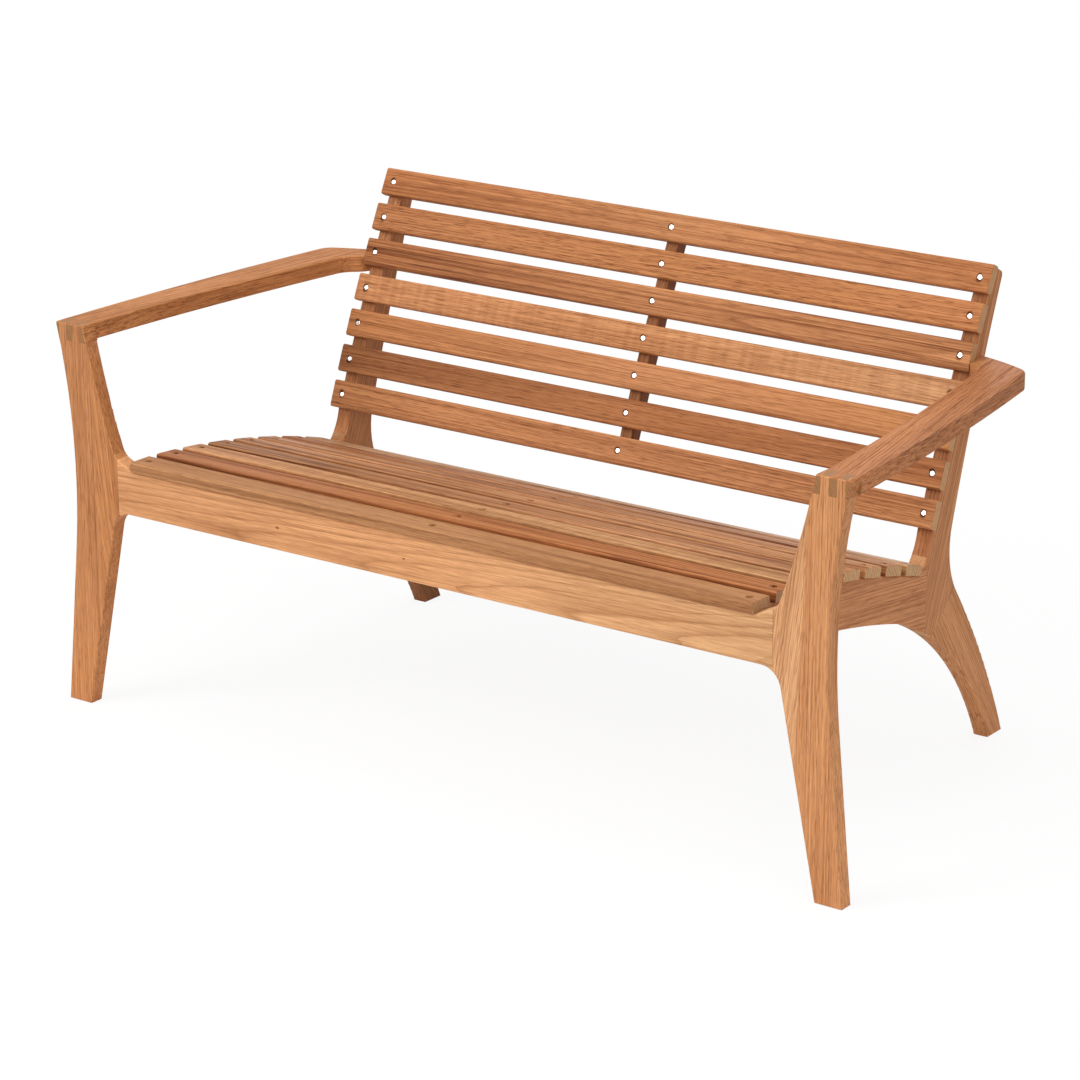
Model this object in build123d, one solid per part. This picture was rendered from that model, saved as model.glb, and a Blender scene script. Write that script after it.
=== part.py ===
from build123d import *
import math
import os

# Slatted garden bench in solid wood, millimetres, +Z up, +X along the bench, front at -Y.
# The origin is on the floor, in the middle of the bench's length and depth.
# Side profiles are drawn as (depth behind the front legs' front face, height).
# Reaches are measured outwards along X, from the piece that each comment names.

# ---- slats ----
slat_length = 1160.0
slat_thickness = 17.0
slat_edge_radius = 4.0
slat_end_radius = 1.5
slat_clearance = 0.5

# ---- seat: slat 1 lies level on the apron, slats 2 to 8 follow the side rails' curve ----
seat_slat_count = 8
seat_slat_width = 48.0
seat_slat_gap = 14.4
seat_rest_height = 414.0
seat_rest_slope = 3.1
seat_rest_radius = 1800.0
front_slat_overhang = 6.0

# ---- back: slats lie on the stiles' curved front edges, slat 1 at the top ----
back_slat_count = 7
back_slat_width = 46.0
back_slat_gap = 15.1
back_rest_tilt = 20.8
back_rest_radius = 3500.0
back_rest_setback = 50.5
back_rest_rise = 82.3

# ---- front frame: apron, ears and legs of one board thickness, reaches from the apron's end ----
leg_thickness = 28.0
apron_depth = 73.5
apron_overhang = 32.0
knee_reach = 7.0
knee_radius = 34.0
foot_reach = 122.5
foot_width = 45.5
leg_bend_reach = 96.0
leg_bend_height = 265.0
leg_top_reach = 120.8
leg_top_width = 58.0
forearm_bow = 4.0
throat_reach = 5.0
throat_rise = 16.5
throat_radius = 28.0
ear_clearance = 1.0
ear_seam_foot_reach = 39.0
ear_seam_foot_height = 180.0
ear_seam_top_reach = 54.0
ear_tip_drop = 24.0

# ---- arms: boards that narrow and bow inwards to the stiles, reaches from the stiles ----
arm_height = 637.0
arm_thickness = 28.0
arm_rise = 0.72
arm_bow = 8.0
arm_corner_reach = 98.5
arm_corner_radius = 32.0
arm_rear_bow = 3.5
arm_elbow_reach = 31.0
arm_elbow_lead = 28.5
arm_elbow_bow = 5.0
arm_elbow_radius = 40.0
arm_end_width = 38.5
arm_seam_shift = 13.0
arm_finger_width = 13.7
arm_outer_finger = 9.0

# ---- side frames: rail, stile and rear leg in one plane ----
side_thickness = 28.0
slat_end_overhang = 5.0
rail_depth = 74.5
rest_blend_radius = 200.0
rail_end_lead = 28.0
rail_blend_radius = 40.0
seat_stop_gap = 5.0
seat_back_bow = 7.0
back_blend_radius = 60.0
stile_top_depth = 28.0
stile_middle_depth = 44.0
stile_top_radius = 8.0
stile_seam_setback = 27.0
waist_setback = 85.0
waist_drop = 10.0
waist_radius = 127.0
leg_seam_rear = (120.0, 46.5)
leg_seam_front = (53.0, 107.5)
rear_leg_bow = 14.5
rear_foot_setback = 289.0
rear_foot_width = 44.0
rear_leg_front_bow = 39.0

# ---- framing behind and under the slats ----
bearer_thickness = 25.0
bearer_depth = 45.0
rear_rail_thickness = 25.0
rear_rail_depth = 60.0
batten_width = 23.0
batten_depth = 25.0
batten_end_inset = 2.0

# ---- rounded edges ----
frame_edge_radius = 3.0
batten_edge_radius = 1.5

# ---- screws ----
screw_head_diameter = 8.6
screw_head_thickness = 2.4
screw_dome_radius = 1.1
screw_recess_diameter = 12.0
screw_shank_diameter = 4.5
screw_length = 36.0
seat_screw_sink = 3.0
back_screw_sink = 1.5
screw_drive_width = 1.0
screw_drive_span = 4.6
screw_drive_depth = 1.1

# ---- dowels ----
dowel_diameter = 10.0
dowel_length = 56.0
leg_dowel_length = 44.0
thin_dowel_diameter = 8.0
thin_dowel_length = 36.0
arm_dowel_length = 32.0
dowel_chamfer = 1.0
dowel_margin = 10.0
blind_hole_share = 0.67
seam_dowel_margin = 35.0
leg_dowel_shares = (0.42, 0.74)

# ---- places worked out from the sizes ----
cutter_size = 3 * slat_length
slat_half = slat_length / 2
side_outer = slat_half - slat_end_overhang
side_inner = side_outer - side_thickness
screw_x = (side_outer + side_inner) / 2
apron_half = slat_half + apron_overhang
apron_top = seat_rest_height
apron_bottom = apron_top - apron_depth
slat_1_rear = seat_slat_width - front_slat_overhang
rest_start = slat_1_rear + seat_slat_gap / 4
seat_pitch = seat_slat_width + seat_slat_gap
back_pitch = back_slat_width + back_slat_gap
seat_screw_reach = screw_length + seat_screw_sink - slat_thickness


def between(start, end, share):
    """Point that lies a share of the way from one point to another."""
    return (start[0] + share * (end[0] - start[0]), start[1] + share * (end[1] - start[1]))


def bowed_arc(start, end, bow):
    """Arc between two points, bow mm to the left of the straight line at its middle."""
    middle = between(start, end, 0.5)
    across, up = end[0] - start[0], end[1] - start[1]
    length = math.hypot(across, up)
    return ThreePointArc(start, (middle[0] - bow * up / length, middle[1] + bow * across / length), end)


def seat_rest(s, below=0.0):
    """Point on the curve that the seat slats rest on, s mm along it, and its downward slope."""
    first = math.radians(seat_rest_slope)
    slope = first + s / seat_rest_radius
    depth = rest_start + seat_rest_radius * (math.sin(slope) - math.sin(first))
    height = seat_rest_height + seat_rest_radius * (math.cos(slope) - math.cos(first))
    return depth - below * math.sin(slope), height - below * math.cos(slope), slope


def seat_s_at(depth, below):
    """How far along the seat's curve a line below it reaches a given depth."""
    first = math.radians(seat_rest_slope)
    run = depth - rest_start + seat_rest_radius * math.sin(first)
    return seat_rest_radius * (math.asin(run / (seat_rest_radius - below)) - first)


seat_s = [
    seat_pitch * n - seat_slat_width / 2 - seat_slat_gap / 4 for n in range(1, seat_slat_count)
]
seat_end_s = seat_s[-1] + seat_slat_width / 2
seat_end_depth, seat_end_height = seat_rest(seat_end_s)[:2]
back_start_depth = seat_end_depth + back_rest_setback
back_start_height = seat_end_height + back_rest_rise


def back_rest(s, behind=0.0):
    """Point on the curve that the back slats rest on, s mm above the lowest slat, and its tilt."""
    first = math.radians(back_rest_tilt)
    tilt = first + s / back_rest_radius
    depth = back_start_depth + back_rest_radius * (math.cos(first) - math.cos(tilt))
    height = back_start_height + back_rest_radius * (math.sin(tilt) - math.sin(first))
    return depth + behind * math.cos(tilt), height - behind * math.sin(tilt), tilt


def back_s_at(height):
    """How far up the back's curve a given height lies."""
    first = math.radians(back_rest_tilt)
    rise = (height - back_start_height) / back_rest_radius
    return (math.asin(math.sin(first) + rise) - first) * back_rest_radius


back_low_s = -back_slat_width / 2
back_top_s = back_pitch * (back_slat_count - 1) + back_slat_width / 2
rear_foot_back = seat_end_depth + rear_foot_setback
front_y = (front_slat_overhang - rear_foot_back) / 2
leg_back_y = front_y + leg_thickness


# ---- helpers ----
def mirrored(solid):
    """The same piece for the bench's other end."""
    return mirror(solid, about=Plane.YZ)


def both_sides(solids):
    """Solids of the right half with their copies on the left."""
    return [copy for solid in solids for copy in (solid, mirrored(solid))]


def half_space(origin, direction):
    """A large box that fills the side of a plane its direction points to."""
    from_plane = (Align.CENTER, Align.CENTER, Align.MIN)
    cutter = Box(cutter_size, cutter_size, cutter_size, align=from_plane)
    return Plane(origin=origin, z_dir=direction) * cutter


def board(lines, corners, plane, thickness):
    """A flat board with an outline of joined lines and arcs, and the radii of its corners."""
    face = make_face(Curve() + lines)
    for point, radius in corners:
        corner = face.vertices().sort_by_distance((point[0], point[1], 0))[0]
        face = fillet(corner, radius)
    return extrude(plane * face, thickness)


def side_plane(x):
    """Plane of a side frame's drawing, depth behind the front legs' front and height."""
    return Plane(origin=(x, front_y, 0), x_dir=(0, 1, 0), z_dir=(1, 0, 0))


def rounded(solid, picks, radius=frame_edge_radius):
    """The solid with those edges rounded whose middles the test picks."""
    return fillet(solid.edges().filter_by(lambda edge: picks(edge.position_at(0.5))), radius)


def near(value, target):
    """Whether two places are the same but for rounding."""
    return abs(value - target) < 0.01


def bored(solid, holes):
    """The solid with its fasteners' holes cut out."""
    for hole in holes:
        solid = solid - hole
    return solid


# ---- fasteners, placed by a plane whose z points out of the wood ----
def screw_blank():
    """Stainless screw under z = 0: low domed head with a cross drive, and its shank."""
    from_top = (Align.CENTER, Align.CENTER, Align.MAX)
    head = Cylinder(screw_head_diameter / 2, screw_head_thickness, align=from_top)
    head = fillet(head.edges().sort_by(Axis.Z)[-1], screw_dome_radius)
    for turn in (0, 90):
        head -= Rot(0, 0, turn) * Box(screw_drive_span, screw_drive_width, 2 * screw_drive_depth)
    shank_length = screw_length - screw_head_thickness
    shank = Cylinder(screw_shank_diameter / 2, shank_length, align=from_top)
    return head + Pos(0, 0, -screw_head_thickness) * shank


def screw_hole(plane, sink):
    """The counterbore for a screw's head and the hole that its shank fills."""
    from_top = (Align.CENTER, Align.CENTER, Align.MAX)
    recess = Cylinder(screw_recess_diameter / 2, 2 * (sink + screw_head_thickness))
    shank = Cylinder(screw_shank_diameter / 2, sink + screw_length, align=from_top)
    return plane * (recess + shank)


def dowel_holes(planes, diameter, length):
    """The holes for dowels that are centred on the planes' origins, along their z."""
    return [plane * Cylinder(diameter / 2, length) for plane in planes]


def dowels(planes, diameter, length):
    """Dowels with chamfered ends that fill such holes."""
    blank = chamfer(Cylinder(diameter / 2, length).edges(), dowel_chamfer)
    return [plane * blank for plane in planes]


# ---- slats ----
def slat_blank(width):
    """Slat on z = 0 along X, with rounded long edges and eased ends."""
    blank = Box(slat_length, width, slat_thickness, align=(Align.CENTER, Align.CENTER, Align.MIN))
    blank = fillet(blank.edges().filter_by(Axis.X), slat_edge_radius)
    return rounded(blank, lambda point: near(abs(point.X), slat_half), slat_end_radius)


def seat_slat_plane(number):
    """Plane under a seat slat: x along the bench, z up out of the seat."""
    if number == 1:
        depth, height, slope = slat_1_rear - seat_slat_width / 2, seat_rest_height, 0.0
    else:
        depth, height, slope = seat_rest(seat_s[number - 2])
    up = (0, math.sin(slope), math.cos(slope))
    return Plane(origin=(0, front_y + depth, height), x_dir=(1, 0, 0), z_dir=up)


def back_slat_plane(number):
    """Plane behind a back slat: x along the bench, z forwards out of the back."""
    depth, height, tilt = back_rest(back_pitch * (back_slat_count - number))
    forwards = (0, -math.cos(tilt), math.sin(tilt))
    return Plane(origin=(0, front_y + depth, height), x_dir=(1, 0, 0), z_dir=forwards)


def back_slat_space(plane):
    """Space that a back slat takes up, with its clearance all round."""
    grown = [size + 2 * slat_clearance for size in (slat_length, back_slat_width, slat_thickness)]
    return plane * Pos(0, 0, slat_thickness / 2) * Box(*grown)


def screw_planes(slat_plane):
    """Planes on a slat's face over the left side frame, the middle and the right side frame."""
    return [Plane(slat_plane.location * Pos(x, 0, slat_thickness)) for x in (-screw_x, 0, screw_x)]


def finished_slat(plane, width, sink):
    """A slat in its place, bored for its three screws."""
    holes = [screw_hole(place, sink) for place in screw_planes(plane)]
    return bored(plane * slat_blank(width), holes)


seat_planes = [seat_slat_plane(n) for n in range(1, seat_slat_count + 1)]
back_planes = [back_slat_plane(n) for n in range(1, back_slat_count + 1)]
seat_screw_rows = [screw_planes(plane) for plane in seat_planes]
back_screw_rows = [screw_planes(plane) for plane in back_planes]


def seat_screw_holes(rows, place):
    """Holes of the seat slats' screws at one of their three places."""
    return [screw_hole(row[place], seat_screw_sink) for row in rows]


def back_screw_holes(place):
    """Holes of the back slats' screws at one of their three places."""
    return [screw_hole(row[place], back_screw_sink) for row in back_screw_rows]


# ---- front frame: the right half is drawn as one outline, then cut at its glue joints ----
front_plane = Plane(origin=(0, leg_back_y, 0), x_dir=(1, 0, 0), z_dir=(0, -1, 0))
arm_tilt = math.radians(arm_rise)
arm_top_plane = Plane(
    origin=(0, front_y, arm_height),
    x_dir=(1, 0, 0),
    z_dir=(0, -math.sin(arm_tilt), math.cos(arm_tilt)),
)
arm_under_plane = Plane(arm_top_plane.location * Pos(0, 0, -arm_thickness))
over_arm = half_space(arm_top_plane.origin, arm_top_plane.z_dir)
over_arm_underside = half_space(arm_under_plane.origin, arm_top_plane.z_dir)
foot_outer = apron_half + foot_reach
leg_top_outer = apron_half + leg_top_reach
leg_top = arm_height + 2 * leg_thickness * math.tan(arm_tilt)


def front_blank():
    """Half the apron, an ear and a leg as one board, from the bench's middle outwards."""
    middle_bottom = (0, apron_bottom)
    middle_top = (0, apron_top)
    knee = (apron_half + knee_reach, apron_bottom)
    foot_inside = (foot_outer - foot_width, 0)
    foot_outside = (foot_outer, 0)
    bend = (apron_half + leg_bend_reach, leg_bend_height)
    top_outside = (leg_top_outer, leg_top)
    top_inside = (leg_top_outer - leg_top_width, leg_top)
    throat = (apron_half + throat_reach, apron_top + throat_rise)
    slat_end = (slat_half + ear_clearance, apron_top)
    shin_run = (bend[0] - foot_outside[0], bend[1] - foot_outside[1])
    lines = [
        Polyline(middle_bottom, knee, foot_inside, foot_outside, bend),
        TangentArc(bend, top_outside, tangent=shin_run),
        Polyline(top_outside, top_inside),
        bowed_arc(top_inside, throat, forearm_bow),
        Polyline(throat, slat_end, middle_top, middle_bottom),
    ]
    return board(lines, [(knee, knee_radius), (throat, throat_radius)], front_plane, leg_thickness)


def front_lower_board():
    """Half the front frame below the arm's underside, with rounded edges."""

    def on_face(point):
        on_board = near(point.Y, front_y) or near(point.Y, leg_back_y)
        return on_board and point.X > 0.01 and point.Z < arm_height - arm_thickness - 1

    return rounded(front_blank() - over_arm_underside, on_face)


def arm_corner_block():
    """The corner that leg and arm share at the arm's level, with rounded outer edges."""
    block = (front_blank() & over_arm_underside) - over_arm

    def on_edge(point):
        on_front = near(point.Y, front_y) and point.Z > arm_height - arm_thickness + 1
        on_top = point.Z > arm_height and point.Y < leg_back_y - 1
        return on_front or on_top

    return rounded(block, on_edge)


def ear_space():
    """Space inwards of the straight glue seam between ear and leg, up to the ear's blunt tip."""
    seam_foot = (apron_half + ear_seam_foot_reach, ear_seam_foot_height)
    seam_top = (apron_half + ear_seam_top_reach, arm_height - arm_thickness)
    tip = between(seam_foot, seam_top, 1 - ear_tip_drop / (seam_top[1] - seam_foot[1]))
    floor = between(seam_foot, seam_top, -seam_foot[1] / (seam_top[1] - seam_foot[1]))
    outline = Polyline(floor, tip, (0, tip[1]), (0, floor[1]), floor)
    return board([outline], [], front_plane, leg_thickness)


def arm_finger_space():
    """The slots in the right leg's top that the arm's three fingers fill."""
    edges = [leg_top_outer - arm_outer_finger - arm_finger_width * n for n in range(4)]
    spans = [
        (edges[0], edges[0] + leg_top_width),
        (edges[2], edges[1]),
        (edges[3] - leg_top_width, edges[3]),
    ]
    slots = [
        Pos((left + right) / 2, front_y + leg_thickness / 2, arm_height)
        * Box(right - left, leg_thickness, 4 * arm_thickness)
        for left, right in spans
    ]
    return [slot & over_arm_underside for slot in slots]


middle_space = Box(2 * apron_half, 4 * leg_thickness - 2 * front_y, 4 * arm_height)
front_board = front_lower_board()
outer_board = front_board - middle_space
ear_board = outer_board & ear_space()
corner_block = arm_corner_block()
leg_board = (outer_board - ear_space()) + bored(corner_block, arm_finger_space())
apron_board = (front_board & middle_space) + mirrored(front_board & middle_space)


# ---- arms: board with its fingers, and the return block that brings it to the stile ----
arm_foot_s = back_s_at(arm_height)
arm_mid_height = arm_height - arm_thickness / 2 + math.tan(arm_tilt) * back_rest(arm_foot_s)[0]
arm_end_depth = back_rest(back_s_at(arm_mid_height))[0]


def arm_blank():
    """The right arm with its return, drawn from above as (x, depth)."""
    front_outside = (leg_top_outer, -leg_thickness)
    outside = (leg_top_outer, 0)
    inside = (leg_top_outer - leg_top_width, leg_thickness)
    front_inside = (inside[0], -leg_thickness)
    corner = (side_outer + arm_corner_reach, arm_end_depth)
    elbow = (side_outer + arm_elbow_reach, arm_end_depth - arm_elbow_lead)
    stile_front = (side_outer, arm_end_depth)
    stile_rear = (side_outer, arm_end_depth + arm_end_width)
    lines = [
        Polyline(inside, front_inside, front_outside, outside),
        bowed_arc(outside, corner, -arm_bow),
        bowed_arc(corner, stile_rear, -arm_rear_bow),
        Polyline(stile_rear, stile_front),
        bowed_arc(stile_front, elbow, -arm_elbow_bow),
        bowed_arc(elbow, inside, arm_bow),
    ]
    corners = [(corner, arm_corner_radius), (elbow, arm_elbow_radius)]
    return board(lines, corners, arm_under_plane, arm_thickness)


def arm_with_return():
    """The right arm and its return as one board, with rounded edges."""

    def on_edge(point):
        height = arm_top_plane.to_local_coords(point).Z
        on_face = near(height, 0) or near(height, -arm_thickness)
        return on_face and point.X > side_outer + 0.01 and point.Y > front_y

    return rounded(arm_blank(), on_edge)


def return_space():
    """Space of the return block, inwards of the arm board's straight inner edge."""
    elbow = (side_outer + arm_elbow_reach, arm_end_depth - arm_elbow_lead)
    seam_end = (elbow[0] - 2 * arm_seam_shift, elbow[1] + 4 * arm_elbow_lead)
    outline = Polyline(elbow, seam_end, (0, seam_end[1]), (0, elbow[1]), elbow)
    return board([outline], [], arm_under_plane, arm_thickness)


arm_board_with_return = arm_with_return()
arm_return_board = bored(
    arm_board_with_return & return_space(), [back_slat_space(plane) for plane in back_planes]
)
arm_rest_board = (arm_board_with_return - return_space()) & half_space((0, leg_back_y, 0), (0, 1, 0))
for slot in arm_finger_space():
    arm_rest_board = arm_rest_board + (corner_block & slot)


# ---- side frame: the right one is drawn as one outline, then cut at its glue joints ----
stile_seam_depth = seat_end_depth + stile_seam_setback
waist = (seat_end_depth + waist_setback, seat_end_height - waist_drop)
seam_rear = (seat_end_depth + leg_seam_rear[0], seat_end_height - leg_seam_rear[1])
seam_front = (seat_end_depth + leg_seam_front[0], seat_end_height - leg_seam_front[1])
rail_front_s = seat_s_at(leg_thickness, rail_depth)
rail_front_bottom = seat_rest(rail_front_s, rail_depth)[1]
rail_end_s = seat_end_s - rail_end_lead


def seat_arc(start_s, end_s, below=0.0):
    """Arc along the seat's curve, or a depth below it."""
    places = (start_s, (start_s + end_s) / 2, end_s)
    return ThreePointArc(*[seat_rest(s, below)[:2] for s in places])


def back_arc(start_s, end_s, behind=0.0):
    """Arc along the back's curve, or a depth behind it."""
    places = (start_s, (start_s + end_s) / 2, end_s)
    return ThreePointArc(*[back_rest(s, behind)[:2] for s in places])


def side_blank():
    """Rail, stile and rear leg as one board, from the rail's front end over seat and back."""
    rail_front = (leg_thickness, rail_front_bottom)
    rail_front_top = (leg_thickness, seat_rest_height)
    rest_first = (rest_start, seat_rest_height)
    rest_end_s = seat_end_s + seat_stop_gap
    rest_end = seat_rest(rest_end_s)[:2]
    back_low = back_rest(back_low_s)[:2]
    top_front = back_rest(back_top_s)[:2]
    top_rear = back_rest(back_top_s, stile_top_depth)[:2]
    stile_middle = back_rest(back_top_s / 2, stile_middle_depth)[:2]
    foot_rear = (rear_foot_back, 0)
    foot_front = (rear_foot_back - rear_foot_width, 0)
    rail_end = seat_rest(rail_end_s, rail_depth)[:2]
    lines = [
        Polyline(rail_front, rail_front_top, rest_first),
        seat_arc(0, rest_end_s),
        bowed_arc(rest_end, back_low, -seat_back_bow),
        back_arc(back_low_s, back_top_s),
        Polyline(top_front, top_rear),
        ThreePointArc(top_rear, stile_middle, waist),
        bowed_arc(waist, foot_rear, rear_leg_bow),
        Polyline(foot_rear, foot_front),
        bowed_arc(foot_front, rail_end, -rear_leg_front_bow),
        seat_arc(rail_end_s, rail_front_s, rail_depth),
    ]
    corners = [
        (rest_first, rest_blend_radius),
        (back_low, back_blend_radius),
        (top_rear, stile_top_radius),
        (waist, waist_radius),
        (rail_end, rail_blend_radius),
    ]
    return board(lines, corners, side_plane(side_inner), side_thickness)


side_board = side_blank()
seam_along = (0, seam_rear[0] - seam_front[0], seam_rear[1] - seam_front[1])
seam_normal = (0, -seam_along[2], seam_along[1])
apron_back_plane = Plane(origin=(0, leg_back_y, 0), z_dir=(0, 1, 0))
stile_seam_plane = Plane(origin=(0, front_y + stile_seam_depth, 0), z_dir=(0, 1, 0))
leg_seam_plane = Plane(origin=(0, front_y + seam_front[0], seam_front[1]), z_dir=seam_normal)
behind_seam = half_space(stile_seam_plane.origin, stile_seam_plane.z_dir)
over_leg_seam = half_space(leg_seam_plane.origin, seam_normal)


def rounded_between_joints(piece):
    """A side frame's piece with its long edges rounded, but not those at its glue joints."""

    def on_long_edge(point):
        joints = (apron_back_plane, stile_seam_plane, leg_seam_plane)
        at_joint = any(near(joint.to_local_coords(point).Z, 0) for joint in joints)
        return (near(point.X, side_inner) or near(point.X, side_outer)) and not at_joint

    return rounded(piece, on_long_edge)


rail_board = rounded_between_joints(side_board - behind_seam)
stile_board = rounded_between_joints((side_board & behind_seam) & over_leg_seam)
rear_leg_board = rounded_between_joints((side_board & behind_seam) - over_leg_seam)


# ---- rear rail, middle bearer and back batten ----
last_seat_plane = seat_planes[-1]
rear_rail_face = Plane(last_seat_plane.location * Pos(0, -rear_rail_thickness / 2, 0))


def rear_rail_blank():
    """Rail between the side frames, square under the last seat slat."""
    box = Box(2 * side_inner, rear_rail_thickness, rear_rail_depth,
              align=(Align.CENTER, Align.CENTER, Align.MAX))
    return last_seat_plane * fillet(box.edges().filter_by(Axis.X), batten_edge_radius)


def bearer_blank():
    """Middle bearer from the apron to the rear rail, along the curve under the seat."""
    front_top = (leg_thickness, seat_rest_height)
    front_s = seat_s_at(leg_thickness, bearer_depth)
    lines = [
        Polyline(seat_rest(front_s, bearer_depth)[:2], front_top, (rest_start, seat_rest_height)),
        seat_arc(0, rail_end_s),
        Polyline(seat_rest(rail_end_s)[:2], seat_rest(rail_end_s, bearer_depth)[:2]),
        seat_arc(rail_end_s, front_s, bearer_depth),
    ]
    blank = board(lines, [], side_plane(-bearer_thickness / 2), bearer_thickness)
    return blank - half_space(rear_rail_face.origin, rear_rail_face.y_dir)


def batten_blank():
    """Batten behind the back slats' middles, from the lowest slat to the top one."""
    low = back_low_s + batten_end_inset
    top = back_top_s - batten_end_inset
    lines = [
        back_arc(low, top),
        Polyline(back_rest(top)[:2], back_rest(top, batten_depth)[:2]),
        back_arc(top, low, batten_depth),
        Polyline(back_rest(low, batten_depth)[:2], back_rest(low)[:2]),
    ]
    blank = board(lines, [], side_plane(-batten_width / 2), batten_width)
    return rounded(blank, lambda point: near(abs(point.X), batten_width / 2), batten_edge_radius)


# ---- where the dowels of the right half lie ----
def spread(low, high, margin=dowel_margin):
    """Two places inside a span, each a margin from its end."""
    return (low + margin, high - margin)


screw_tip_height = seat_rest_height - seat_screw_reach
apron_dowel_planes = [
    Plane(origin=(apron_half, front_y + leg_thickness / 2, height), z_dir=(1, 0, 0))
    for height in spread(apron_bottom, apron_top, 2 * dowel_margin)
]
rail_dowel_y = leg_back_y + dowel_length / 2 - blind_hole_share * leg_thickness
rail_dowel_planes = [
    Plane(origin=(screw_x, rail_dowel_y, height), z_dir=(0, 1, 0))
    for height in spread(rail_front_bottom, screw_tip_height)
]
stile_dowel_planes = [
    Plane(origin=(screw_x, front_y + stile_seam_depth, height), z_dir=(0, 1, 0))
    for height in spread(seam_front[1], seat_end_height + dowel_margin, seam_dowel_margin)
]
rear_leg_dowel_planes = [
    Plane(origin=(screw_x, front_y + depth, height), z_dir=seam_normal)
    for depth, height in [between(seam_front, seam_rear, share) for share in leg_dowel_shares]
]
rear_rail_dowel_planes = [
    Plane(last_seat_plane.location * Pos(side_inner, 0, -drop) * Rot(0, 90, 0))
    for drop in spread(seat_screw_reach, rear_rail_depth)
]
bearer_dowel_drop = (seat_screw_reach + bearer_depth) / 2
bearer_dowel_planes = [
    Plane(origin=(0, leg_back_y, seat_rest_height - bearer_dowel_drop), z_dir=(0, 1, 0)),
    Plane(rear_rail_face.location * Pos(0, 0, -bearer_dowel_drop) * Rot(90, 0, 0)),
]
arm_dowel_planes = [
    Plane(arm_under_plane.location * Pos(side_outer, depth, arm_thickness / 2) * Rot(0, 90, 0))
    for depth in spread(arm_end_depth, arm_end_depth + arm_end_width)
]


# ---- the pieces with all their holes ----
apron_holes = dowel_holes(apron_dowel_planes, dowel_diameter, dowel_length)
rail_holes = dowel_holes(rail_dowel_planes, dowel_diameter, dowel_length)
stile_holes = dowel_holes(stile_dowel_planes, dowel_diameter, dowel_length)
leg_holes = dowel_holes(rear_leg_dowel_planes, dowel_diameter, leg_dowel_length)
rear_rail_holes = dowel_holes(rear_rail_dowel_planes, thin_dowel_diameter, thin_dowel_length)
bearer_holes = dowel_holes(bearer_dowel_planes, thin_dowel_diameter, thin_dowel_length)
arm_holes = dowel_holes(arm_dowel_planes, thin_dowel_diameter, arm_dowel_length)
front_screw_holes = [screw_hole(place, seat_screw_sink) for place in seat_screw_rows[0]]
last_screw_hole = screw_hole(seat_screw_rows[-1][1], seat_screw_sink)

right_pieces = {
    "front_leg": leg_board,
    "leg_ear": bored(ear_board, apron_holes),
    "arm": arm_rest_board,
    "arm_return": bored(arm_return_board, arm_holes),
    "side_rail": bored(rail_board, rail_holes + stile_holes + rear_rail_holes
                       + seat_screw_holes(seat_screw_rows[1:], 2)),
    "back_stile": bored(stile_board, stile_holes + leg_holes + arm_holes + back_screw_holes(2)),
    "rear_leg": bored(rear_leg_board, leg_holes),
}
pieces = {}
for name, piece in right_pieces.items():
    pieces[f"{name}_right"] = piece
    pieces[f"{name}_left"] = mirrored(piece)

pieces["front_apron"] = bored(
    apron_board, front_screw_holes + bearer_holes[:1] + both_sides(apron_holes + rail_holes)
)
pieces["rear_rail"] = bored(
    rear_rail_blank(), [last_screw_hole] + bearer_holes[1:] + both_sides(rear_rail_holes)
)
pieces["seat_bearer_middle"] = bored(
    bearer_blank(), bearer_holes + seat_screw_holes(seat_screw_rows[1:-1], 1)
)
pieces["back_batten_middle"] = bored(batten_blank(), back_screw_holes(1))
for number, plane in enumerate(seat_planes, 1):
    pieces[f"seat_slat_{number}"] = finished_slat(plane, seat_slat_width, seat_screw_sink)
for number, plane in enumerate(back_planes, 1):
    pieces[f"back_slat_{number}"] = finished_slat(plane, back_slat_width, back_screw_sink)


# ---- fasteners, each kind a group of separate solids ----
screw = screw_blank()


def screws(rows, sink):
    """The screws of all slats' rows, sunk into their recesses."""
    return [place * Pos(0, 0, -sink) * screw for row in rows for place in row]


groups = {
    "seat_slat_screws": screws(seat_screw_rows, seat_screw_sink),
    "back_slat_screws": screws(back_screw_rows, back_screw_sink),
    "apron_dowels": both_sides(dowels(apron_dowel_planes, dowel_diameter, dowel_length)),
    "side_rail_dowels": both_sides(dowels(rail_dowel_planes, dowel_diameter, dowel_length)),
    "stile_dowels": both_sides(dowels(stile_dowel_planes, dowel_diameter, dowel_length)),
    "rear_leg_dowels": both_sides(dowels(rear_leg_dowel_planes, dowel_diameter, leg_dowel_length)),
    "rear_rail_dowels": both_sides(
        dowels(rear_rail_dowel_planes, thin_dowel_diameter, thin_dowel_length)
    ),
    "bearer_dowels": dowels(bearer_dowel_planes, thin_dowel_diameter, thin_dowel_length),
    "arm_dowels": both_sides(dowels(arm_dowel_planes, thin_dowel_diameter, arm_dowel_length)),
}
for name, solids in groups.items():
    pieces[name] = Compound([solid.solid() for solid in solids])

os.makedirs("parts", exist_ok=True)
for name, piece in pieces.items():
    export_step(piece, f"parts/{name}.step")
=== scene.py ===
import math

import bpy
from mathutils import Matrix, Vector

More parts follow.
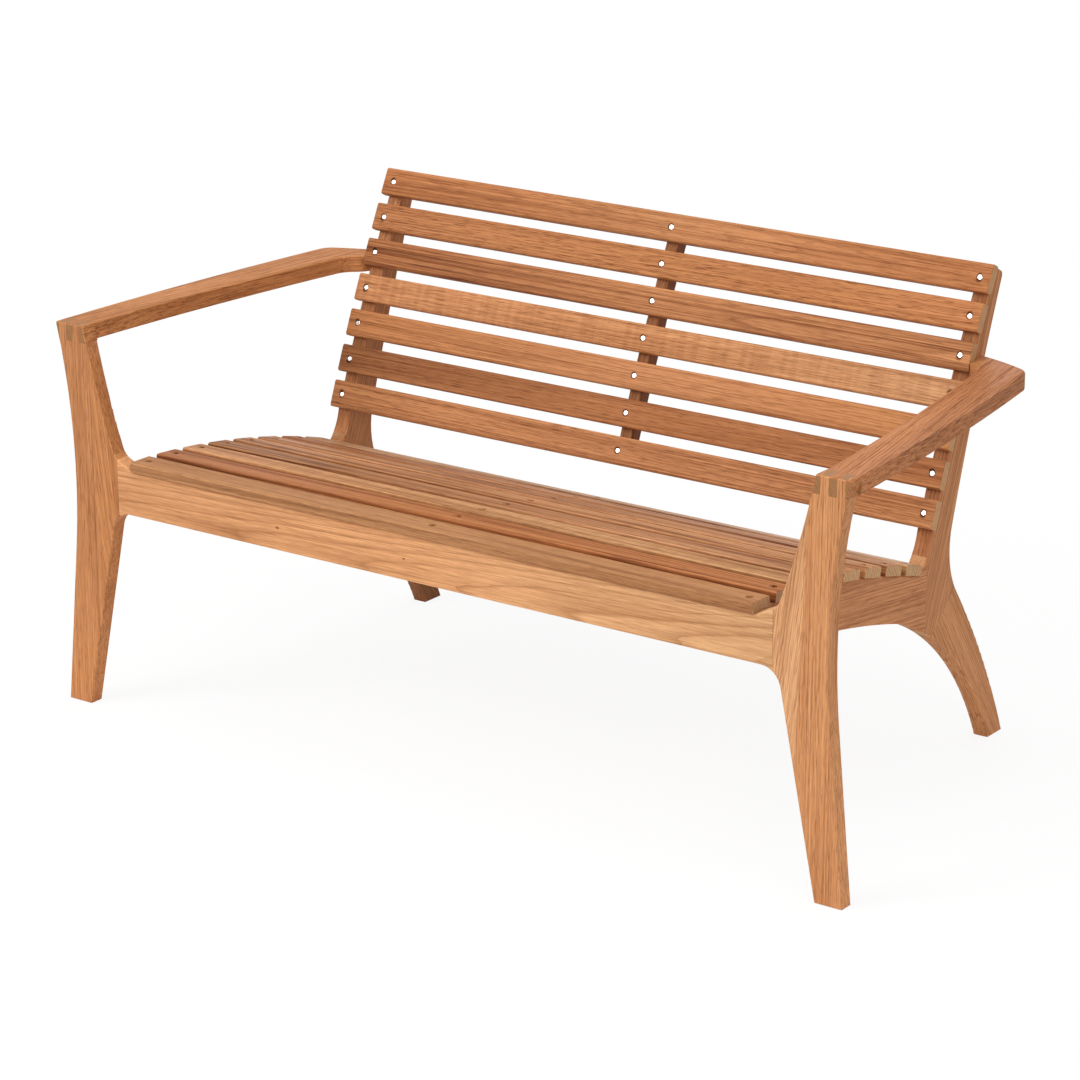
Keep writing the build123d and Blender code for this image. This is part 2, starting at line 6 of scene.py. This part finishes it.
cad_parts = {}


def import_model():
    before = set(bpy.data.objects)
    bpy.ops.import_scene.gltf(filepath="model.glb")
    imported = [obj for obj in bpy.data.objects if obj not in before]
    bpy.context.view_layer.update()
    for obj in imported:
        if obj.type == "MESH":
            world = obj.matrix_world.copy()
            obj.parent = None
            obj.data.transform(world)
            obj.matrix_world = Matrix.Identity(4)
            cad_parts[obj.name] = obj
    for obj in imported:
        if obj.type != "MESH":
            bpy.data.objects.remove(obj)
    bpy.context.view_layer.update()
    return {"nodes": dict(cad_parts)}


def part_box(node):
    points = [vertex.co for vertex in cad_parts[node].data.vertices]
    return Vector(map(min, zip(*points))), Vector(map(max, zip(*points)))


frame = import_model()
nodes = frame["nodes"]

# A slatted teak bench. Every piece is a CAD node, and this script gives each its own wood or steel.
# Metres, +X along the bench, front at -Y, +Z up. Colours are written as on a screen, 0 to 255.

# ---- planed teak, oiled ----
TONES = {
    "straw": (226, 176, 127),
    "honey": (229, 169, 118),
    "peach": (226, 171, 123),
    "apricot": (217, 155, 104),
    "sand": (207, 163, 120),
    "tan": (208, 146, 98),
    "amber": (204, 140, 88),
    "rose": (204, 151, 109),
    "olive": (190, 138, 93),
    "clay": (199, 138, 90),
    "copper": (197, 131, 81),
    "russet": (184, 122, 76),
    "cocoa": (168, 112, 70),
    # umber, used on the left rear leg, is painted shade.
    "umber": (150, 100, 62),
}
SLAT_ENDS = (200, 158, 114)
FIRST_SLAT_ENDS = (180, 142, 102)
JOINT_ENDS = (152, 111, 72)

# What each mark does to the wood's red, green and blue where it is at its strongest.
RING_TINT = (0.58, 0.47, 0.38, 1.0)
STREAK_TINT = (0.56, 0.45, 0.38, 1.0)
LINE_TINT = (0.42, 0.31, 0.24, 1.0)
FLECK_TINT = (0.42, 0.33, 0.26, 1.0)
BROAD_TINT = (0.84, 0.79, 0.74, 1.0)
PALE_TINT = (1.22, 1.24, 1.26, 1.0)
# The narrow sides' tint below is painted shade, for the gaps between slats and the sides that slats shade.
SIDE_SHADE_TINT = (0.62, 0.50, 0.38, 1.0)
DARK_TINT = (0.42, 0.32, 0.26, 1.0)


class Mark:
    """A mark that noise makes in the wood, with its features to the metre along and across the grain.

    It shows where the noise passes start, and is at its strongest where the noise passes full.
    """

    def __init__(self, along, across, start, full, tint=None, strength=1.0, detail=2.0, roughness=0.5):
        self.along = along
        self.across = across
        self.start = start
        self.full = full
        self.tint = tint
        self.strength = strength
        self.detail = detail
        self.roughness = roughness


BROAD_SHADE = Mark(along=1.7, across=20.0, start=0.38, full=0.66, tint=BROAD_TINT, strength=0.8)
WIDE_STREAK = Mark(along=0.8, across=150.0, start=0.46, full=0.66, tint=STREAK_TINT, strength=0.5)
NARROW_STREAK = Mark(along=0.8, across=430.0, start=0.46, full=0.66, tint=STREAK_TINT, roughness=0.6)
PALE_STREAK = Mark(along=0.8, across=260.0, start=0.50, full=0.66, tint=PALE_TINT, strength=0.7)
FLECK = Mark(along=34.0, across=950.0, start=0.56, full=0.68, tint=FLECK_TINT, detail=1.0)
FINE_GRAIN = Mark(along=30.0, across=900.0, start=0.3, full=0.7, tint=STREAK_TINT, strength=0.4)
CROSS_BAND = Mark(along=85.0, across=6.0, start=0.35, full=0.65, tint=BROAD_TINT, detail=1.0)

# Thin lines run where noise is near its middle value: start and full are how near. Outside their
# patches they break off.
NOISE_MIDDLE = 0.5
LINE = Mark(along=0.9, across=90.0, start=0.024, full=0.0, tint=LINE_TINT)
LINE_PATCH = Mark(along=2.4, across=30.0, start=0.42, full=0.60)

# Growth rings: how dark each is from one dark edge to the next, how strong the weakest one is, how
# many rings their edges stray, and the features to the metre of the tree's wander and those edges.
RING_PROFILE = ((0.0, 1.0), (0.16, 0.5), (0.45, 0.1), (0.84, 0.0), (0.98, 1.0))
WEAKEST_RING = 0.2
RAGGEDNESS = 0.45
WANDER_ACROSS = (1.1, 7.0, 7.0)
WANDER_BEHIND = (1.3, 5.0, 9.0)
RAGGED_EDGES = (3.0, 60.0, 60.0)

# How squarely a face has to look along one of the wood's axes, from not at all to fully.
NARROW_SIDE = (0.45, 0.90)
ARRIS = (0.78, 0.92)
END_GRAIN = (0.78, 0.95)
# How much paler the arrises are at most, a painted highlight on the rounded edges.
ARRIS_HIGHLIGHT = 0.45
END_GRAIN_SHARE = 0.85

# Dark spots at knots, from core to rim in radii, the dark ring of painted shade in the recess round
# each screw of the back, and how far before a glue joint its dark line starts and is full.
SPOT_CORE = 0.60
SPOT_RIM = 1.05
SPOT_STRENGTH = 0.9
SCREW_HEAD = 0.0086
SCREW_RECESS_SHADE = 0.0125
GLUE_LINE_START = 0.0009
GLUE_LINE_FULL = 0.0003

# The surface: how deep the marks lie for the bump, its roughness, and the oil's faint sheen.
FINE_GRAIN_HEIGHT = 0.5
RING_DEPTH = 0.3
GRAIN_DEPTH = 0.0004
GRAIN_BUMP = 0.35
SMOOTH_WOOD = 0.55
ROUGH_WOOD = 0.72
SHEEN = 0.16

# A seed moves a piece's noise so far, so that neighbours don't look alike.
SEED_STEP = (3.7, 1.3, 0.7)
BACK_SEED = 20
APRON_SEED = 31
FRONT_SEED = 40
FRAMING_SEED = 61
DOWEL_SEED = 70
SIDE_SEED = 80
SEEDS_PER_SIDE = 10

# ---- polished stainless steel ----
STEEL_TONES = ((228, 228, 225), (248, 248, 246))
TURNING_MARKS = (900.0, 900.0, 900.0)
TONE_NOISE = (0.3, 0.7)
ROUGHNESS_NOISE = (0.2, 0.8)
TURNING_DEPTH = 0.0001
TURNING_BUMP = 0.08
SMOOTH_STEEL = 0.16
ROUGH_STEEL = 0.30

# ---- studio ----
# The floor reaches this far, fades out between two distances from its middle, and glows white to the
# camera by this share. The world looks white, and lights the object at the light level.
FLOOR_REACH = 12.0
FLOOR_FADE = (1.1, 2.2)
FLOOR_GLOW = 0.88
FLOOR_TONES = ((250, 250, 249), (254, 254, 253))
FLOOR_GRIT = (40.0, 40.0, 40.0)
FLOOR_ROUGHNESS = 0.9
LIGHT_LEVEL = 0.42
LAMPS_FACE = Vector((0.0, 0.0, 0.4))
WHITE = (1.0, 1.0, 1.0, 1.0)

# Where the camera looks, how far off it stands, and its angles round the bench and above it.
AIM = Vector((-0.05896, 0.0, 0.29999))
DISTANCE = 5.86538
AZIMUTH = math.radians(35.55)
ELEVATION = math.radians(18.25)
FOCAL_LENGTH_MM = 123.07
SENSOR_MM = 36.0


# ---- node trees ----
def linear(colour):
    """A screen colour as the linear values that a shader takes, with its alpha."""
    return [((c / 255 + 0.055) / 1.055) ** 2.4 for c in colour] + [1.0]


def grey(value):
    """A grey for a ramp that is read as a number."""
    return (value, value, value, 1.0)


class Shader:
    """The nodes of a new material or world, added by one call each."""

    def __init__(self, owner):
        owner.use_nodes = True
        self.owner = owner
        self.tree = owner.node_tree
        self.tree.nodes.clear()

    def plug(self, socket, value):
        """Sets a socket to a value, or links another node's output to it."""
        if isinstance(value, bpy.types.NodeSocket):
            self.tree.links.new(value, socket)
        else:
            socket.default_value = value

    def node(self, kind, inputs=(), **settings):
        """Adds a node with its settings, and its inputs in order or by name."""
        node = self.tree.nodes.new("ShaderNode" + kind)
        for key, value in settings.items():
            setattr(node, key, value)
        named = inputs.items() if isinstance(inputs, dict) else enumerate(inputs)
        for key, value in named:
            self.plug(node.inputs[key], value)
        return node

    def math(self, operation, *values):
        """A number worked out from others."""
        return self.node("Math", values, operation=operation).outputs[0]

    def vector(self, operation, *values):
        """A vector worked out from others, or the one number that some operations give."""
        node = self.node("VectorMath", values, operation=operation)
        return node.outputs["Value" if operation in ("DOT_PRODUCT", "LENGTH") else "Vector"]

    def noise(self, place, scale, detail=2.0, roughness=0.5):
        """Noise with so many features to the metre along each of the place's three axes."""
        stretched = self.vector("MULTIPLY", place, scale)
        inputs = {"Vector": stretched, "Scale": 1.0, "Detail": detail, "Roughness": roughness}
        return self.node("TexNoise", inputs).outputs["Fac"]

    def fit(self, value, low, high, to_low=0.0, to_high=1.0):
        """The value moved from one range to another, smoothly and held at both ends."""
        inputs = {"Value": value, "From Min": low, "From Max": high, "To Min": to_low, "To Max": to_high}
        return self.node("MapRange", inputs, interpolation_type="SMOOTHSTEP").outputs["Result"]

    def mix(self, share, first, second, blend="MIX"):
        """Two colours mixed, by the node's sockets for its factor and its two colours."""
        node = self.node("Mix", data_type="RGBA", blend_type=blend)
        for key, value in ((0, share), (6, first), (7, second)):
            self.plug(node.inputs[key], value)
        return node.outputs[2]

    def ramp(self, value, stops):
        """Colours at places from 0 to 1, blended in between."""
        node = self.node("ValToRGB", [value])
        elements = node.color_ramp.elements
        while len(elements) < len(stops):
            elements.new(0.5)
        for element, (place, colour) in zip(elements, stops):
            element.position = place
            element.color = colour
        return node.outputs["Color"]

    def finish(self, surface, output="OutputMaterial"):
        """Links the surface to the output, and gives back the material or world."""
        self.tree.links.new(surface, self.node(output).inputs["Surface"])
        return self.owner


# ---- teak ----
def grain_turn(along, face):
    """Rotation that takes world axes to the wood's: x along the fibres, z out of the flat face."""
    x = Vector(along).normalized()
    y = Vector(face).cross(x).normalized()
    return Matrix((x, y, x.cross(y)))


def centre(name):
    """Middle of a node's box."""
    low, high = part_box(name)
    return (Vector(low) + Vector(high)) / 2


def half_length(name):
    """Half of a node's length along the bench."""
    low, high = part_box(name)
    return (high[0] - low[0]) / 2


def dress(name, material):
    """Gives every material slot of a CAD node the same material."""
    for slot in nodes[name].material_slots:
        slot.material = material


class Wood(Shader):
    """Wood of one node, measured along its fibres from its middle, and coloured mark by mark."""

    def __init__(self, name, tones, along, face, seed, reach):
        super().__init__(bpy.data.materials.new("teak_" + name))
        turn = grain_turn(along, face)
        texture = self.node("TexCoord")
        self.place = self.node("Mapping", {
            "Vector": texture.outputs["Object"],
            "Location": -(turn @ centre(name)),
            "Rotation": turn.to_euler(),
        }).outputs[0]
        self.spot = self.vector("ADD", self.place, [seed * step for step in SEED_STEP])
        self.run = self.node("SeparateXYZ", [self.place]).outputs["X"]
        self.cut, self.narrow_side, self.flat_side = (
            self.math("ABSOLUTE", self.vector("DOT_PRODUCT", texture.outputs["Normal"], axis))
            for axis in turn)
        self.colour = self.board_tone(tones, reach)

    def board_tone(self, tones, reach):
        """The tones follow each other along the piece, as far as reach to both sides of its middle."""
        tones = tones * 2 if len(tones) == 1 else tones
        stops = [(index / (len(tones) - 1), linear(TONES[tone])) for index, tone in enumerate(tones)]
        return self.ramp(self.math("MULTIPLY_ADD", self.run, 0.5 / reach, 0.5), stops)

    def tint(self, share, tint):
        """Tints the wood where the share says, from 0 to 1."""
        self.colour = self.mix(share, self.colour, tint, "MULTIPLY")

    def pattern(self, mark, coarse=1.0):
        """The noise behind a mark, coarser across the grain by so many times."""
        across = mark.across / coarse
        return self.noise(self.spot, (mark.along, across, across), mark.detail, mark.roughness)

    def share(self, mark, coarse=1.0):
        """How much of a mark there is at each place, from 0 to 1."""
        return self.fit(self.pattern(mark, coarse), mark.start, mark.full)

    def draw(self, mark, share, amount=1.0):
        """Tints the wood with a mark, in an amount that differs from board to board."""
        self.tint(self.math("MULTIPLY", share, mark.strength * amount), mark.tint)

    def growth_rings(self, heart, taper, ring, wander):
        """Dark late wood round the tree's wandering middle, each ring of its own strength."""
        drifts = [self.noise(self.spot, scale) for scale in (WANDER_ACROSS, WANDER_BEHIND)]
        drifts = [self.math("SUBTRACT", drift, NOISE_MIDDLE) for drift in drifts]
        drifts = [self.math("MULTIPLY", drift, wander) for drift in drifts]
        drift = self.node("CombineXYZ", [0.0, *drifts]).outputs[0]
        bent = self.vector("ADD", self.vector("ADD", self.place, drift), (0.0, -heart[0], -heart[1]))
        radius = self.vector("LENGTH", self.vector("MULTIPLY", bent, (0.0, 1.0, 1.0)))
        grown = self.math("MULTIPLY_ADD", self.run, taper, radius)
        ragged = self.noise(self.spot, RAGGED_EDGES, detail=3.0)
        turns = self.math("MULTIPLY_ADD", ragged, RAGGEDNESS, self.math("DIVIDE", grown, ring))
        profile = self.ramp(self.math("FRACT", turns), [(part, grey(dark)) for part, dark in RING_PROFILE])
        each = self.node("TexWhiteNoise", {"W": self.math("FLOOR", turns)}, noise_dimensions="1D")
        strength = self.fit(each.outputs["Value"], 0.0, 1.0, WEAKEST_RING, 1.0)
        return self.math("MULTIPLY", profile, strength)

    def thin_lines(self, coarse):
        """How much of a thin dark line there is at each place."""
        ridge = self.math("ABSOLUTE", self.math("SUBTRACT", self.pattern(LINE, coarse), NOISE_MIDDLE))
        near = self.fit(ridge, LINE.full, LINE.start * coarse, 1.0, 0.0)
        return self.math("MULTIPLY", near, self.share(LINE_PATCH))

    def shade_sides_and_highlight_arrises(self, amount):
        """Narrow sides darkened as painted shade, and arrises paled as a painted highlight."""
        side = self.fit(self.narrow_side, *NARROW_SIDE)
        # painted shade on the narrow sides, by the amount given
        self.tint(self.math("MULTIPLY", side, amount), SIDE_SHADE_TINT)
        squarest = self.math("MAXIMUM", self.cut, self.math("MAXIMUM", self.narrow_side, self.flat_side))
        # painted highlight on the arrises, on every piece
        self.tint(self.fit(squarest, *ARRIS, ARRIS_HIGHLIGHT, 0.0), PALE_TINT)

    def dark_spot(self, along, across, length, width):
        """A small dark oval, so far from the piece's middle."""
        away = self.vector("SUBTRACT", self.place, (along, across, 0.0))
        radii = self.vector("LENGTH", self.vector("DIVIDE", away, (length / 2, width / 2, 1.0)))
        self.tint(self.fit(radii, SPOT_CORE, SPOT_RIM, SPOT_STRENGTH, 0.0), DARK_TINT)

    def glue_joints(self, distance):
        """A thin dark line on both sides of the piece, so far from its middle."""
        away = self.math("ABSOLUTE", self.run)
        self.tint(self.fit(away, distance - GLUE_LINE_START, distance - GLUE_LINE_FULL), DARK_TINT)

    def end_grain(self, colour, late_wood):
        """Duller wood with rings where the fibres are cut across."""
        cut = self.math("MULTIPLY", self.fit(self.cut, *END_GRAIN), END_GRAIN_SHARE)
        self.colour = self.mix(cut, self.colour, self.mix(late_wood, linear(colour), STREAK_TINT, "MULTIPLY"))

    def surface(self, late_wood, narrow, fleck, fine):
        """Oiled wood whose flecks and rings lie a little deeper, rougher in its streaks."""
        grooves = self.math("ADD", fleck, self.math("MULTIPLY", late_wood, RING_DEPTH))
        height = self.math("SUBTRACT", self.math("MULTIPLY", fine, FINE_GRAIN_HEIGHT), grooves)
        bump = self.node("Bump", {"Height": height, "Strength": GRAIN_BUMP, "Distance": GRAIN_DEPTH})
        inputs = {
            "Base Color": self.colour,
            "Roughness": self.fit(narrow, 0.0, 1.0, SMOOTH_WOOD, ROUGH_WOOD),
            "Normal": bump.outputs["Normal"],
            "Specular IOR Level": SHEEN,
        }
        return self.finish(self.node("BsdfPrincipled", inputs).outputs[0])


def teak(name, tones, along, face=(0, 0, 1), seed=0, heart=(0.08, -0.05), taper=0.0, ring=0.004,
         wander=0.02, rings=0.6, streaks=0.6, lines=0.6, flecks=0.5, bands=0.0, edges=0.0, coarse=1.0,
         reach=0.58, glue=0.0, ends=SLAT_ENDS, knots=(), screws=()):
    """Gives a node its own teak, in tones that follow each other over its reach each side of the middle.

    along and face say which way the fibres run and which way the flat face looks. heart is where the
    tree's middle lies beside the piece, across and behind its face, taper is how fast it comes nearer
    along the fibres, ring is how thick each year's ring is, and wander how far the middle strays.
    rings, streaks, lines, flecks and bands are how strong those marks are. edges darkens the board's
    narrow sides as painted shade, and coarse widens its streaks. glue is how far from the middle the
    glue joints lie.
    ends is the end grain's colour. knots are small dark ones, each (along, across, length, width) in
    metres from the piece's middle, and screws says how far along the screw holes with painted shade lie.
    """
    wood = Wood(name, tones, along, face, seed, reach)
    late_wood = wood.growth_rings(heart, taper, ring, wander)
    narrow = wood.share(NARROW_STREAK, coarse)
    fleck = wood.share(FLECK)
    fine = wood.pattern(FINE_GRAIN)

    # the board's own tone, mark by mark
    wood.draw(BROAD_SHADE, wood.share(BROAD_SHADE))
    wood.tint(wood.math("MULTIPLY", late_wood, rings), RING_TINT)
    wood.draw(WIDE_STREAK, wood.share(WIDE_STREAK, coarse), streaks)
    wood.draw(NARROW_STREAK, narrow, streaks)
    wood.draw(PALE_STREAK, wood.share(PALE_STREAK, coarse), streaks)
    wood.draw(LINE, wood.thin_lines(coarse), lines)
    wood.draw(FLECK, fleck, flecks)
    wood.draw(FINE_GRAIN, wood.fit(fine, FINE_GRAIN.start, FINE_GRAIN.full))
    wood.draw(CROSS_BAND, wood.share(CROSS_BAND), bands)
    wood.shade_sides_and_highlight_arrises(edges)
    for knot in knots:
        wood.dark_spot(*knot)
    # the dark ring round each screw is painted shade in its recess
    for screw in screws:
        wood.dark_spot(screw, 0.0, SCREW_RECESS_SHADE, SCREW_RECESS_SHADE)
    if glue:
        wood.glue_joints(glue)
    wood.end_grain(ends, late_wood)
    dress(name, wood.surface(late_wood, narrow, fleck, fine))


def steel():
    """Polished stainless steel with faint turning marks."""
    metal = Shader(bpy.data.materials.new("stainless_steel"))
    place = metal.node("TexCoord").outputs["Object"]
    marks = metal.noise(place, TURNING_MARKS, detail=3.0)
    dull, bright = (linear(tone) for tone in STEEL_TONES)
    bump = metal.node("Bump", {"Height": marks, "Strength": TURNING_BUMP, "Distance": TURNING_DEPTH})
    inputs = {
        "Base Color": metal.mix(metal.fit(marks, *TONE_NOISE), dull, bright),
        "Metallic": 1.0,
        "Roughness": metal.fit(marks, *ROUGHNESS_NOISE, SMOOTH_STEEL, ROUGH_STEEL),
        "Normal": bump.outputs["Normal"],
    }
    return metal.finish(metal.node("BsdfPrincipled", inputs).outputs[0])


# ---- the wood of each piece ----
# Slats are counted from the front of the seat, and from the top of the back.
SEAT_BOARDS = (
    dict(tones=("olive",), ends=FIRST_SLAT_ENDS, edges=0.1, lines=0.3, flecks=0.6, streaks=0.4, rings=0.3),
    dict(tones=("russet", "copper", "copper"), lines=0.9, flecks=0.5, streaks=0.8),
    dict(tones=("peach", "straw", "straw"), lines=0.6, flecks=0.7, streaks=0.7, bands=0.5),
    dict(tones=("olive", "rose", "rose"), lines=1.0, flecks=0.7, streaks=0.9, coarse=2.2),
    dict(tones=("rose", "peach", "peach"), lines=0.9, flecks=0.7, streaks=0.9, coarse=2.2),
    dict(tones=("rose", "rose", "peach"), lines=1.0, flecks=0.7, streaks=0.9, coarse=2.2),
    dict(tones=("russet", "rose", "rose"), lines=1.0, flecks=0.7, streaks=0.9, coarse=2.2),
    dict(tones=("sand",), lines=0.8, flecks=0.7, streaks=0.9, coarse=2.2),
)
BACK_BOARDS = (
    dict(tones=("copper", "clay", "copper"), heart=(0.0, -0.03), taper=0.02, ring=0.0035, rings=0.5,
         lines=0.5, streaks=0.6, flecks=0.6),
    dict(tones=("russet", "amber", "copper"), rings=0.5, lines=0.4, streaks=0.6, flecks=1.0),
    dict(tones=("russet", "clay", "clay"), heart=(-0.008, -0.035), taper=-0.014, rings=1.0, lines=1.0,
         streaks=0.9, flecks=0.5),
    dict(tones=("tan", "apricot", "peach"), rings=0.5, lines=0.6, streaks=0.5, flecks=0.7, bands=0.65),
    dict(tones=("amber", "tan", "amber"), rings=0.5, lines=0.6, streaks=0.5, flecks=0.5),
    dict(tones=("cocoa", "russet", "russet"), rings=0.4, lines=0.6, streaks=0.6, flecks=0.7),
    dict(tones=("clay", "tan", "clay"), rings=0.5, lines=0.6, streaks=0.7, flecks=0.8),
)
SEAT_SLANT = 0.008
BACK_SLANT = 0.006


def dress_seat():
    """Each slat's fibres slant the other way from its neighbour's."""
    for number, board in enumerate(SEAT_BOARDS, 1):
        slant = SEAT_SLANT * (-1) ** number
        # edges here is painted shade on the slats' narrow sides, for the gaps between them.
        usual = dict(edges=0.9, heart=(10 * slant, -0.05), coarse=1.7, ring=0.006)
        teak(f"seat_slat_{number}", along=(1, slant, 0.004), seed=number, **{**usual, **board})


def dress_back():
    outer = half_length("back_slat_screws") - SCREW_HEAD / 2
    for number, board in enumerate(BACK_BOARDS, 1):
        slant = BACK_SLANT * (-1) ** number
        # edges here is painted shade on the back slats' narrow sides.
        usual = dict(edges=0.2, heart=(12 * slant, -0.05), screws=(-outer, 0.0, outer))
        teak(f"back_slat_{number}", along=(1, 0, slant), face=(0, -1, 0.4), seed=BACK_SEED + number,
             **{**usual, **board})


def dress_apron():
    knots = ((-0.286, -0.001, 0.009, 0.005), (-0.041, -0.006, 0.006, 0.004))
    teak("front_apron", ("honey", "honey", "straw"), (1, 0, 0.01), face=(0, -1, 0), seed=APRON_SEED,
         heart=(-0.03, -0.025), ring=0.0095, wander=0.05, taper=-0.05, rings=0.75, streaks=0.2,
         lines=0.3, flecks=0.3, coarse=1.4, glue=half_length("front_apron"), knots=knots)


def dress_front_and_arms():
    upright = dict(face=(0, -1, 0), rings=0.4, streaks=0.5, lines=0.4, flecks=0.6, ends=JOINT_ENDS)
    for side, sign, leg_tones, ear_tone, arm_tone in (
        ("right", 1, ("apricot",), "peach", "copper"),
        ("left", -1, ("amber", "tan"), "amber", "amber"),
    ):
        seed = FRONT_SEED + SEEDS_PER_SIDE * sign
        teak(f"front_leg_{side}", leg_tones, (0, 0, 1), seed=seed, reach=0.33, **upright)
        teak(f"leg_ear_{side}", (ear_tone,), (0.12 * sign, 0, 1), seed=seed + 1, reach=0.2, **upright)
        teak(f"arm_{side}", (arm_tone,), (-0.16 * sign, 1, 0), seed=seed + 2, lines=0.8, flecks=0.8,
             ends=JOINT_ENDS)
        teak(f"arm_return_{side}", ("amber",), (sign, -0.8, 0), seed=seed + 3)


def dress_side_frames():
    for side, sign, rail_tone, leg_tone, stile_face in (
        ("right", 1, "tan", "apricot", (1, 0, 0)),
        ("left", -1, "russet", "umber", (0, -1, 0.38)),
    ):
        seed = SIDE_SEED + SEEDS_PER_SIDE * sign
        out = (sign, 0, 0)
        teak(f"side_rail_{side}", (rail_tone,), (0, 1, -0.12), out, seed=seed, rings=0.45)
        # edges on the stiles is painted shade where the slats shade them; stile_face says which sides get it.
        teak(f"back_stile_{side}", ("tan",), (0, 0.38, 1), stile_face, seed=seed + 1, rings=0.35, edges=0.5)
        # the left rear leg's umber is painted shade, darker than the right one's apricot
        teak(f"rear_leg_{side}", (leg_tone,), (0, 0.7, -1), out, seed=seed + 2, rings=0.4)


def dress_hidden_framing():
    seed = FRAMING_SEED
    teak("rear_rail", ("cocoa",), (1, 0, 0), face=(0, -1, 0), seed=seed)
    teak("seat_bearer_middle", ("cocoa",), (0, 1, -0.12), face=(1, 0, 0), seed=seed + 1)
    # edges on the batten is painted shade, for its sides behind the slats.
    teak("back_batten_middle", ("cocoa",), (0, 0.4, 1), face=(0, -1, 0.4), seed=seed + 2, edges=1.0)
    dowels = sorted(name for name in nodes if name.endswith("_dowels"))
    for number, name in enumerate(dowels):
        teak(name, ("honey",), (1, 0, 0), seed=DOWEL_SEED + number)


def dress_screws():
    metal = steel()
    dress("seat_slat_screws", metal)
    dress("back_slat_screws", metal)


# ---- floor, light and camera ----
def pale_floor():
    """White to the camera with a light shadow, clear far out, and pale paint in the bench's light."""
    shader = Shader(bpy.data.materials.new("pale_floor"))
    place = shader.node("TexCoord").outputs["Object"]
    grit = shader.noise(place, FLOOR_GRIT, detail=3.0)
    colour = shader.mix(grit, *(linear(tone) for tone in FLOOR_TONES))
    paint = shader.node("BsdfPrincipled", {"Base Color": colour, "Roughness": FLOOR_ROUGHNESS})
    glow = shader.node("Emission", {"Color": WHITE, "Strength": 1.0})
    seen = shader.math("MULTIPLY", shader.node("LightPath").outputs["Is Camera Ray"], FLOOR_GLOW)
    lit = shader.node("MixShader", [seen, paint.outputs[0], glow.outputs[0]])
    clear = shader.node("BsdfTransparent")
    far = shader.fit(shader.vector("LENGTH", place), *FLOOR_FADE)
    surface = shader.node("MixShader", [far, lit.outputs[0], clear.outputs[0]])
    return shader.finish(surface.outputs[0])


def backdrop():
    """A white floor that takes a light shadow, and fades out into the white world round it."""
    corners = [(x * FLOOR_REACH, y * FLOOR_REACH, 0) for x, y in ((-1, -1), (1, -1), (1, 1), (-1, 1))]
    mesh = bpy.data.meshes.new("floor")
    mesh.from_pydata(corners, [], [(0, 1, 2, 3)])
    mesh.materials.append(pale_floor())
    floor = bpy.data.objects.new("floor", mesh)
    bpy.context.collection.objects.link(floor)


def world():
    """White to the camera and in reflections, and a soft even light on the object."""
    shader = Shader(bpy.data.worlds.new("studio"))
    rays = shader.node("LightPath").outputs
    seen = shader.math("MAXIMUM", rays["Is Camera Ray"], rays["Is Glossy Ray"])
    seen = shader.math("MAXIMUM", seen, rays["Is Transmission Ray"])
    strength = shader.node("MapRange", {"Value": seen, "To Min": LIGHT_LEVEL, "To Max": 1.0}).outputs[0]
    background = shader.node("Background", {"Color": WHITE, "Strength": strength})
    bpy.context.scene.world = shader.finish(background.outputs[0], "OutputWorld")


def lamp(name, place, size, power):
    """A square soft box that faces the bench, with its size in metres and its power in watts."""
    light = bpy.data.lights.new(name, "AREA")
    light.size = size
    light.energy = power
    box = bpy.data.objects.new(name, light)
    box.location = place
    box.rotation_euler = (LAMPS_FACE - box.location).to_track_quat("-Z", "Y").to_euler()
    bpy.context.collection.objects.link(box)


def camera():
    """The view from the right and a little above, from far away through a long lens."""
    lens = bpy.data.cameras.new("camera")
    lens.lens = FOCAL_LENGTH_MM
    lens.sensor_width = SENSOR_MM
    level = math.cos(ELEVATION)
    towards = Vector((math.sin(AZIMUTH) * level, -math.cos(AZIMUTH) * level, math.sin(ELEVATION)))
    view = bpy.data.objects.new("camera", lens)
    view.location = AIM + DISTANCE * towards
    view.rotation_euler = (math.pi / 2 - ELEVATION, 0, AZIMUTH)
    bpy.context.collection.objects.link(view)
    bpy.context.scene.camera = view


dress_seat()
dress_back()
dress_apron()
dress_front_and_arms()
dress_side_frames()
dress_hidden_framing()
dress_screws()
backdrop()
world()
lamp("key", (-2.5, -4.0, 3.6), size=2.5, power=150)
lamp("overhead", (0.3, -0.8, 4.5), size=3.5, power=85)
lamp("fill", (3.6, -2.8, 2.0), size=2.5, power=62)
lamp("back", (-1.0, 4.2, 1.6), size=3.0, power=45)
camera()
bpy.context.scene.view_settings.view_transform = "Standard"
